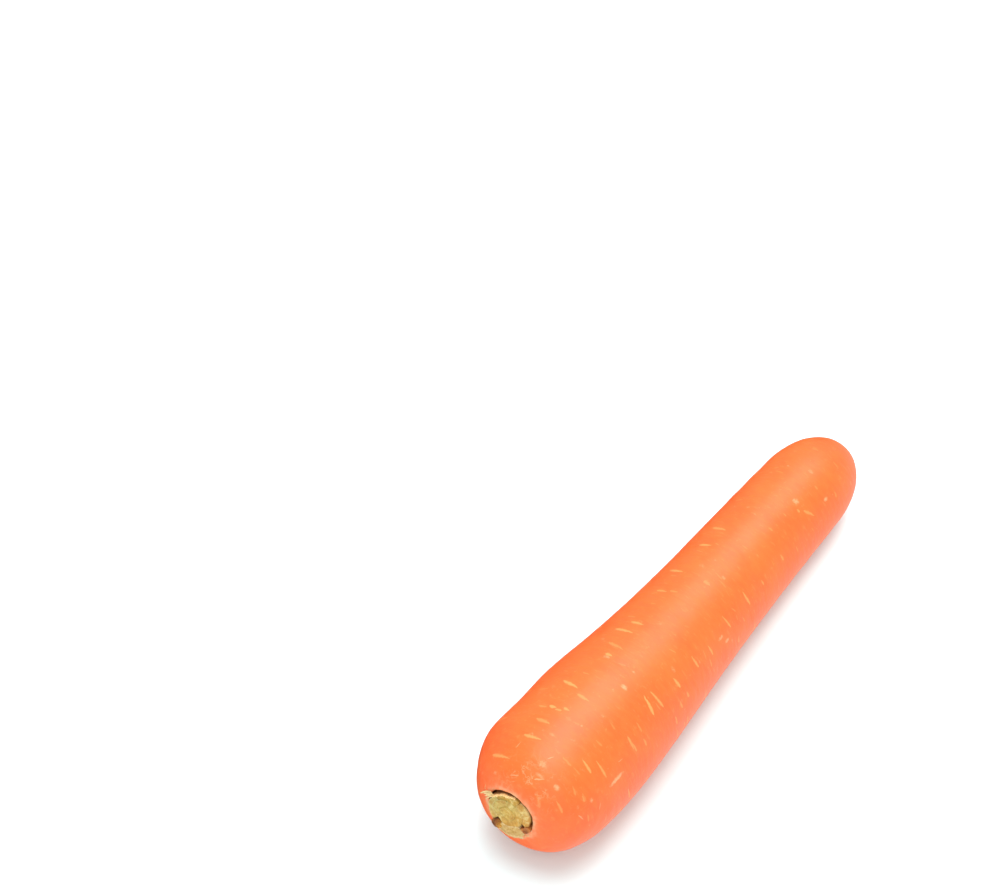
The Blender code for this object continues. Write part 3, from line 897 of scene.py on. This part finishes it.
def heart_bundle():
    """Rows from the foot's middle out, up the wall and back over the face to its middle; the face is a whorl
    of small folded leaf bases, cos(2 pi r / pitch + 2 angle)."""
    angle = np.linspace(0.0, math.tau, HEART_COLUMNS, endpoint=False)[None, :]
    face_out = np.sin(0.5 * np.pi * np.linspace(0.98, 0.02, HEART_FACE))
    wall_depth = np.linspace(0.98, 0.04, HEART_WALL)
    out = np.concatenate([[0.1, 0.5, 0.95], np.ones(HEART_WALL), face_out])[:, None]
    depth = np.concatenate([[1.0, 1.0, 1.0], wall_depth, np.zeros(HEART_FACE)])[:, None]
    radius = out * (heart_edge(angle) - SEAM)
    across, up = polar(radius, angle)
    whorl = 0.00009 * np.cos(math.tau * radius / WHORL_PITCH + 2.0 * angle) * np.minimum(1.0, radius / 0.0006)
    edge = np.clip((out - 0.86) / 0.14, 0.0, 1.0) ** 2
    face = cut_face(across, up) - 0.00025 + whorl + 0.00016 * edge
    x = face + (STALK_FOOT - face) * depth
    near = np.where(depth > 0.0, 0.5 + 0.5 * depth, 0.5 * out**6)
    return recess_place(x, across, up), np.broadcast_to(near, x.shape)


# %% [markdown]
# ## The cut stalks' finish
#
# Fresh cut stalk is khaki: pith of a dull gold, with fibres that the knife dragged one way. Across each face
# the colour goes from gold and brown on the lower right to green and pale on the upper left: partly the
# crown's own green, partly painted light and shade. Each stalk has a thin green skin at its edge, and its
# sides turn dark brown towards the foot: dirt in the seams, and painted shade down in the recess. `near` is 0
# in the middle of a face, 0.5 at its edge and 1 at the foot.


# %% Cut stalk
def make_cut_finish(name, gold, green, edge_gold, edge_green, seed_shift):
    material, start = new_finish(name)
    place = place_of(start)
    dragged = place_of(start, (1.0, 1.0, 0.22))
    near = attribute(start, "near")
    right, high = place.axis("Y") - RECESS_Y, place.axis("Z") - RECESS_Z
    cloudy = (noise(place, 260.0, 2.0) - 0.5) * 0.008
    # lit_side is 1 on the upper left of the plug and 0 on the lower right: the colours it mixes are partly
    # the crown's own green and partly painted light and shade.
    lit_side = (right * 0.75 + high * 0.65 + cloudy).rise(-0.0055, 0.0055)
    fibre = noise(dragged, 2600.0 + seed_shift, 3.0, 0.6)
    pith = noise(place, 900.0 + seed_shift, 3.0, 0.6)
    cloud = noise(place, 360.0, 3.0, 0.6, 1.0)

    base = lit_side.mix(gold, green)
    base = (cloud.rise(0.50, 0.64) * 0.70).mix(base, (0.42, 0.185, 0.026))
    base = ((1.0 - cloud.rise(0.34, 0.47)) * 0.65).mix(base, (0.72, 0.55, 0.22))
    base = (fibre.rise(0.52, 0.72) * 0.35).mix(base, (0.72, 0.54, 0.20))
    base = ((1.0 - pith.rise(0.30, 0.50)) * 0.45).mix(base, (0.34, 0.20, 0.025))
    edge = near.rise(0.16, 0.46) * (0.35 + pith.rise(0.40, 0.60) * 0.5)
    base = edge.mix(base, lit_side.mix(edge_gold, edge_green))
    # Towards the foot the stalks' sides turn dark brown: dirt in the seams, and painted shade down in the
    # recess.
    base = near.rise(0.62, 1.0).mix(base, (0.24, 0.10, 0.018))

    finish_with(start, base, 0.62 + pith * 0.2, 0.4, fibre * 0.9 + pith * 0.6, 0.00016, 0.7)
    return material


OLIVE, OCHRE = (0.40, 0.31, 0.065), (0.46, 0.25, 0.040)
CUTS = {
    # gold and green of the face, gold and green of its edge, shift of its noise; lit_side puts gold on the
    # lower right and green on the upper left, as painted light and shade
    "young_pith": ((0.58, 0.31, 0.055), (0.55, 0.38, 0.095), OCHRE, OLIVE, 0.0),
    "inner_pith": ((0.56, 0.28, 0.045), (0.53, 0.38, 0.105), OCHRE, OLIVE, 170.0),
    "outer_pith": ((0.55, 0.25, 0.040), (0.54, 0.40, 0.120), (0.42, 0.17, 0.030), (0.66, 0.50, 0.24), 410.0),
    "torn_pith": ((0.58, 0.35, 0.115), (0.56, 0.38, 0.130), (0.70, 0.50, 0.25), (0.68, 0.54, 0.28), 290.0),
    "shaded_pith": ((0.52, 0.25, 0.035), (0.50, 0.28, 0.038), OCHRE, (0.42, 0.23, 0.028), 530.0),
}
CUT_FINISH = {name: make_cut_finish(name, *looks) for name, looks in CUTS.items()}
print("cut finishes:", ", ".join(CUT_FINISH))

# %% Stalks in their places
points, near = heart_bundle()
heart = close_grids("heart_cut", [points], CUT_FINISH["young_pith"], {"near": [near]})
stand_for(heart, "stalk_heart")
STALKS = (
    # node, from and to degrees, inner and outer edge, finish, proud, bent outwards, rounded off
    ("stalk_inner_left", -40.2, 79.8, heart_edge, inner_edge, "inner_pith", 0.00005, 0.0, 0.0),
    ("stalk_inner_right", 80.2, 201.8, heart_edge, inner_edge, "inner_pith", 0.00006, 0.0, 0.0),
    ("stalk_inner_low", 202.2, 319.4, heart_edge, inner_edge, "inner_pith", 0.00010, 0.0, 0.0),
    ("stalk_outer_left", -49.0, 44.8, inner_edge, outer_edge, "outer_pith", 0.00008, 0.0, 0.0),
    ("stalk_outer_top", 45.2, 118.3, inner_edge, outer_edge, "shaded_pith", -0.00004, 0.0, 0.0001),
    ("stalk_outer_right", 118.7, 197.0, inner_edge, outer_edge, "outer_pith", 0.00002, 0.0, 0.0007),
    ("stalk_outer_low", 224.0, 288.0, inner_edge, outer_edge, "torn_pith", 0.00026, 0.0021, 0.0),
)
for number, (node, start_turn, end_turn, inside, outside, finish, *form) in enumerate(STALKS):
    points, near = crescent(start_turn, end_turn, inside, outside, 40 + number, *form)
    piece = close_grids(node.replace("stalk", "cut"), [points], CUT_FINISH[finish], {"near": [near]})
    stand_for(piece, node)

# %% [markdown]
# ## Withered stalks
#
# Two old stalks dried before the knife came. One is a shrivelled knob that stands out at the lower left.
# The other broke off short in the dark corner of the recess. The knob is a lumpy tube: its radius
# carries a few folds that run along it, and its head is pinched in. The stub is a short crescent, built like
# the cut stalks.


# %% Dried knob
TUBE_COLUMNS = 40


def shrivelled(path, radius, folds, seed, flat=1.0):
    """Tube of a circle carried along path [row, xyz], its radius times 1 + folds: sin of the angle and of the
    row, with depth folds. flat squeezes it one way."""
    source = np.random.default_rng(seed)
    angle = np.linspace(0.0, math.tau, TUBE_COLUMNS, endpoint=False)[None, :]
    row = np.linspace(0.0, 1.0, len(path))[:, None]
    shape = np.ones((len(path), TUBE_COLUMNS))
    for turns, size in ((2, 0.5), (3, 0.8), (5, 0.9), (8, 0.6), (13, 0.3)):
        phase, swing = source.uniform(0.0, math.tau), source.uniform(-2.5, 2.5)
        shape += folds * size * np.sin(turns * angle + phase + swing * row)
    for lumps in (5.0, 11.0):
        shape += 0.5 * folds * np.sin(math.tau * lumps * row + source.uniform(0.0, math.tau) + np.sin(angle))
    ahead = np.gradient(path, axis=0)
    ahead /= np.linalg.norm(ahead, axis=1, keepdims=True)
    first = np.cross(ahead, np.array([0.0, 0.3, 1.0]))
    first /= np.linalg.norm(first, axis=1, keepdims=True)
    second = np.cross(ahead, first)
    reach = (radius[:, None] * shape)[..., None]
    sideways = np.cos(angle)[..., None] * first[:, None]
    upwards = flat * np.sin(angle)[..., None] * second[:, None]
    return path[:, None] + reach * (sideways + upwards)


def knob_path(turn, start_radius, end_radius, foot, head, count):
    """Row of places from the recess's floor at foot out to head, moving from one radius to another."""
    share = np.linspace(0.0, 1.0, count)
    radius = start_radius + (end_radius - start_radius) * share**1.5
    return recess_place(foot + (head - foot) * share, *polar(radius, math.radians(turn)))


def make_dried_finish(name, dark, warm, pale, lit_from):
    """Dried tissue: dark brown folds, warmer brown on their backs, an amber or reddish glow in patches, and
    the same pale colour painted as light over the side below lit_from in Y.
    """
    material, start = new_finish(name)
    place = place_of(start)
    fold = noise(place_of(start, (0.35, 1.0, 1.0)), 1300.0, 4.0, 0.6)
    glow = noise(place, 620.0, 2.0, 0.5)
    base = fold.rise(0.36, 0.62).mix(dark, warm)
    # The pale colour on the side below lit_from in Y is painted light.
    painted_light_side = (place.axis("Y") + (glow - 0.5) * 0.002).rise(lit_from, lit_from - 0.0012)
    base = (glow.rise(0.50, 0.66) * 0.6).most(painted_light_side * 0.9).mix(base, pale)
    finish_with(start, base, 0.60 + fold * 0.25, 0.4, fold, 0.00022, 0.8)
    return material


KNOB_MIDDLE = RECESS_Y + 0.0031
STUB_MIDDLE = KNOB_MIDDLE - 0.0100
KNOB_COLOURS = ((0.11, 0.034, 0.005), (0.26, 0.083, 0.013), (0.58, 0.26, 0.028))
STUB_COLOURS = ((0.17, 0.040, 0.008), (0.40, 0.110, 0.018), (0.60, 0.21, 0.045))
KNOB_DRY = make_dried_finish("dried_knob", *KNOB_COLOURS, KNOB_MIDDLE)
STUB_DRY = make_dried_finish("dried_stub", *STUB_COLOURS, STUB_MIDDLE)
KNOB_ROWS = 44
KNOB_GIRTH = ([0, 0.3, 0.7, 0.86, 0.96, 1], [0.0011, 0.0013, 0.0016, 0.0018, 0.0013, 0.0004])

path = knob_path(-64.0, 0.0062, 0.0080, STALK_FOOT, -0.0019, KNOB_ROWS)
knob = shrivelled(path, np.interp(np.linspace(0, 1, KNOB_ROWS), *KNOB_GIRTH), 0.08, 61, 0.95)
stand_for(close_grids("withered_knob", [knob], KNOB_DRY), "withered_stalk_left")


def stub_inner(angle):
    return 0.00640 + waves(angle, (0.00020, 9.0, 0.0))


def stub_outer(angle):
    return 0.00855 + waves(angle, (0.00012, 7.0, 1.0))


stub = crescent(199.0, 225.0, stub_inner, stub_outer, 62, -0.00010, 0.0, 0.0003)[0]
stand_for(close_grids("withered_stub", [stub], STUB_DRY), "withered_stalk_right")

# %% [markdown]
# ## The dry sheath
#
# The oldest leaf left a papery sheath. It stands between the plug and the recess's wall along the upper
# edge, and its torn end is turned out over the rim in tongues. Paper has two faces a fifth of a millimetre
# apart, so its section is a thin closed loop that follows a bent line.


# %% Sheath
SHEATH_START, SHEATH_ARC = 33.0, 72.0
SHEATH_FOOT, SHEATH_RISE = 0.0040, 0.00105
PAPER_HALF = 0.00011


def sheath_line(share, height):
    """Where the paper's middle runs: share 0 to 1 along the arc, height 0 at the foot to 1 at the torn edge.
    Gives the angle, the radius and x. It stands just outside the stalks and rises about 1 mm above them."""
    angle = np.radians(SHEATH_START + SHEATH_ARC * share)
    waning = 1.0 - 0.6 * np.clip((share - 0.70) / 0.30, 0.0, 1.0) ** 1.5
    tall = np.clip(share / 0.12, 0.0, 1.0) ** 0.5 * waning
    jag = waves(share, (0.00010, 33.0, 1.0), (0.00010, 71.0, 0.0), (0.00006, 131.0, 0.0))
    radius = outer_edge(angle) + 0.00028 + 0.00045 * height**2 + 0.00008 * np.sin(19.0 * share + 3.0) * height
    edge = cut_face(*polar(radius, angle)) - SHEATH_RISE * tall - jag
    return angle, radius, SHEATH_FOOT + (edge - SHEATH_FOOT) * height


def sheath_paper():
    """Columns go up the inner face and down the outer one, half the paper's thickness to each side."""
    share = np.linspace(0.004, 0.996, 150)[:, None]
    up_row = np.linspace(0.0, 1.0, 26)[None, :]
    angle, radius, x = sheath_line(share, up_row)
    angle = np.broadcast_to(angle, radius.shape)
    middle = recess_place(x, *polar(radius, angle))
    across = np.cross(np.gradient(middle, axis=0), np.gradient(middle, axis=1))
    across /= np.maximum(np.linalg.norm(across, axis=-1, keepdims=True), 1e-12)
    thick = PAPER_HALF * (1.0 - 0.55 * up_row**2)[..., None]
    both = np.concatenate([middle + across * thick, (middle - across * thick)[:, ::-1]], axis=1)
    tall = np.broadcast_to(np.concatenate([up_row, up_row[:, ::-1]], axis=1), both.shape[:2])
    return both, tall


def make_straw_finish():
    """Dry papery straw: cream with darker veins that run up it, browner at its foot."""
    material, start = new_finish("papery_straw")
    vein = noise(place_of(start, (0.15, 1.0, 1.0)), 2300.0, 3.0, 0.6)
    tall = attribute(start, "tall")
    base = vein.rise(0.35, 0.65).mix((0.72, 0.42, 0.16), (0.90, 0.64, 0.28))
    base = (1.0 - tall.rise(0.62, 0.88)).mix(base, (0.26, 0.10, 0.025))
    base = (noise(place_of(start), 700.0).rise(0.60, 0.75) * 0.5).mix(base, (0.62, 0.34, 0.12))
    finish_with(start, base, 0.58 + vein * 0.2, 0.5, vein, 0.00012, 0.7)
    return material


TONGUES = (
    # half width in mm, then places along it as (degrees, mm from the centre line, mm above the skin)
    (0.42, (47, 8.0, 1.1), (38, 8.3, 0.55), (28, 8.7, 0.3), (17, 9.4, 0.2), (7, 10.3, 0.15), (1, 11.0, 0.1)),
    (0.50, (52, 7.3, 1.25), (42, 7.4, 1.0), (31, 7.5, 0.55), (21, 7.9, 0.3), (12, 8.5, 0.2), (5, 9.2, 0.12)),
    (0.40, (44, 7.8, 1.05), (34, 8.0, 0.7), (24, 8.4, 0.35), (14, 9.1, 0.22), (6, 9.8, 0.12)),
    (0.26, (36, 7.2, 0.8), (26, 7.3, 0.45), (15, 7.6, 0.28), (6, 8.1, 0.18), (-2, 8.8, 0.1)),
)


def eased(row):
    """Each value becomes the mean of its nine nearest, which rounds the corners of a broken line."""
    return np.convolve(np.pad(row, 4, mode="edge"), np.ones(9) / 9.0, "valid")


def tongue(places_along, half_width, seed):
    """A torn strip of the paper that lies over the rim: a flat tube whose width wanes to its tip."""
    share = np.linspace(0.0, 1.0, 40)
    stops = np.linspace(0.0, 1.0, len(places_along))
    turn, reach, lift = (eased(np.interp(share, stops, row)) for row in zip(*places_along))
    across, up = polar(reach * MM, np.radians(turn))
    path = recess_place(np.minimum(rim_x(across, up), 0.0013) - lift * MM, across, up)
    width = half_width * MM * (1.0 - 0.85 * share**3) * (1.0 + 0.12 * np.sin(21.0 * share + seed))
    return shrivelled(path, 0.16 * width, 0.10, seed, 6.0)


STRAW = make_straw_finish()
points, tall = sheath_paper()
tongues = [tongue(along, half_width, 80 + number) for number, (half_width, *along) in enumerate(TONGUES)]
tall = [tall] + [np.full(strip.shape[:2], 0.9) for strip in tongues]
torn_sheath = close_grids("torn_sheath", [points] + tongues, STRAW, {"tall": tall})
stand_for(torn_sheath, "dry_sheath")

# %% [markdown]
# ## Torn strings
#
# Where the lowest stalk tore, strings of fibre are left along the plug's lower edge and on the rim. Each is
# a thin tapering tube carried along a short arc.

# %% Strings
STRINGS = (
    # degrees where it starts, radius mm, degrees it runs, how far out mm, lift mm
    (246.0, 8.3, 16.0, 0.7, 0.3), (256.0, 8.4, 20.0, 0.4, 0.25), (268.0, 8.2, -12.0, 0.9, 0.4),
    (276.0, 8.3, 9.0, 0.8, 0.45), (236.0, 8.5, 14.0, 0.6, 0.2), (284.0, 8.1, -15.0, 0.9, 0.35),
    (262.0, 7.4, 12.0, 1.1, 0.35), (228.0, 8.8, -12.0, 0.7, 0.25), (219.0, 9.1, 12.0, 0.6, 0.22),
    (210.0, 9.2, 13.0, 0.5, 0.22), (13.0, 9.6, -9.0, 1.0, 0.4), (22.0, 9.9, 8.0, 0.9, 0.35),
)


def string_tube(turn, radius, run, out, lift):
    """A tapering tube, 0.2 mm thick at its start: it leaves the face's edge, lifts and lands outside."""
    share = np.linspace(0.0, 1.0, 26)
    angle = np.radians(turn + run * share)
    reach = (radius + out * share**1.4) * MM
    across, up = polar(reach, angle)
    rim = rim_x(across, up)
    ground = np.where(reach > mouth_edge(angle) + 0.3 * MM, rim, np.minimum(rim, cut_face(across, up)))
    x = ground - (0.12 + lift * np.sin(np.pi * share)) * MM
    path = recess_place(x, across, up)
    return shrivelled(path, 0.00010 * (1.0 - 0.75 * share), 0.12, int(turn))[:, ::4]


strings = [string_tube(*string) for string in STRINGS]
tall = [np.full(string.shape[:2], 0.8) for string in strings]
torn_strings = close_grids("torn_strings", strings, STRAW, {"tall": tall})
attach(torn_strings, "root")

# %% [markdown]
# ## Table, light and camera
#
# A small bright studio: a white table, an even white surround and four soft square lights. One hangs
# overhead, two stand high beyond the tip and one is in front, so that the shadow is soft and stays close to
# the root. The camera looks down at the crown end with a long lens.

# %% Studio
scene = bpy.context.scene
scene.view_settings.view_transform = "Standard"


def make_surround():
    """Even soft light from above. Below the table's level only glossy rays arrive: bright on the near side,
    dim on the far side, where neighbours in a heap would keep the glare of a white table off the skin."""
    world = bpy.data.worlds.new("surround")
    scene.world = world
    world.use_nodes = True
    world.node_tree.nodes.clear()
    start = Wire(world.node_tree)
    direction = start.node("ShaderNodeTexCoord", out="Generated")
    far = direction.axis("Y").rise(-0.25, 0.45)
    above = direction.axis("Z").rise(-0.10, 0.05)
    strength = above * 0.84 + (1.0 - above) * (1.0 - far) * 1.2
    light = start.node("ShaderNodeBackground", {}, {"Color": (1.0, 1.0, 1.0, 1.0), "Strength": strength})
    start.node("ShaderNodeOutputWorld", {}, {"Surface": light})


def soft_light(name, size, power, place, aim):
    """Square area light of a side of size metres, at place, facing aim."""
    light = bpy.data.lights.new(name, "AREA")
    light.shape = "SQUARE"
    light.size = size
    light.energy = power
    lamp = bpy.data.objects.new(name, light)
    scene.collection.objects.link(lamp)
    toward = Vector(aim) - Vector(place)
    lamp.matrix_world = Matrix.Translation(place) @ toward.to_track_quat("-Z", "Y").to_matrix().to_4x4()


LAMPS = (
    # name, side in metres, watts, place, aim
    ("overhead", 0.8, 8.2, (0.0, 0.0, 1.2), (0.0, 0.0, 0.0)),
    ("toward_tip", 0.7, 5.5, (0.75, 0.08, 1.05), (0.0, 0.0, 0.0)),
    ("wide", 1.2, 4.6, (0.45, 0.05, 1.1), (0.0, 0.0, 0.0)),
    ("front", 1.2, 5.4, (-0.9, -0.6, 0.9), (-0.05, 0.0, 0.0)),
)
TABLE_HALF = 4.0
make_surround()
for lamp in LAMPS:
    soft_light(*lamp)
white, start = new_finish("white_table")
finish_with(start, (0.74, 0.92, 0.94, 1.0), 0.9)
sheet = bpy.data.meshes.new("table")
corners = [(x * TABLE_HALF, y * TABLE_HALF, 0.0) for x, y in ((-1, -1), (1, -1), (1, 1), (-1, 1))]
sheet.from_pydata(corners, [], [(0, 1, 2, 3)])
sheet.materials.append(white)
table = bpy.data.objects.new("table", sheet)
table.visible_glossy = False
scene.collection.objects.link(table)
print(len(LAMPS), "lamps over a table", 2.0 * TABLE_HALF, "m wide")

# %% Camera
LENS, SENSOR = 114.35, 36.0
STAND = (-0.45409, -0.30520, 0.80130)
TURN = math.radians(34.618)
DROP = math.radians(48.0)
look = Vector((math.cos(DROP) * math.cos(TURN), math.cos(DROP) * math.sin(TURN), -math.sin(DROP)))
side = Vector((math.sin(TURN), -math.cos(TURN), 0.0))
rise = side.cross(look)
camera_data = bpy.data.cameras.new("camera")
camera_data.lens = LENS
camera_data.sensor_width = SENSOR
camera = bpy.data.objects.new("camera", camera_data)
scene.collection.objects.link(camera)
stand = Vector((CROWN_X + STAND[0], CENTRE_Y + STAND[1], STAND[2]))
camera.matrix_world = Matrix.Translation(stand) @ Matrix((side, rise, -look)).transposed().to_4x4()
scene.camera = camera
print("camera at", [round(v, 4) for v in stand])
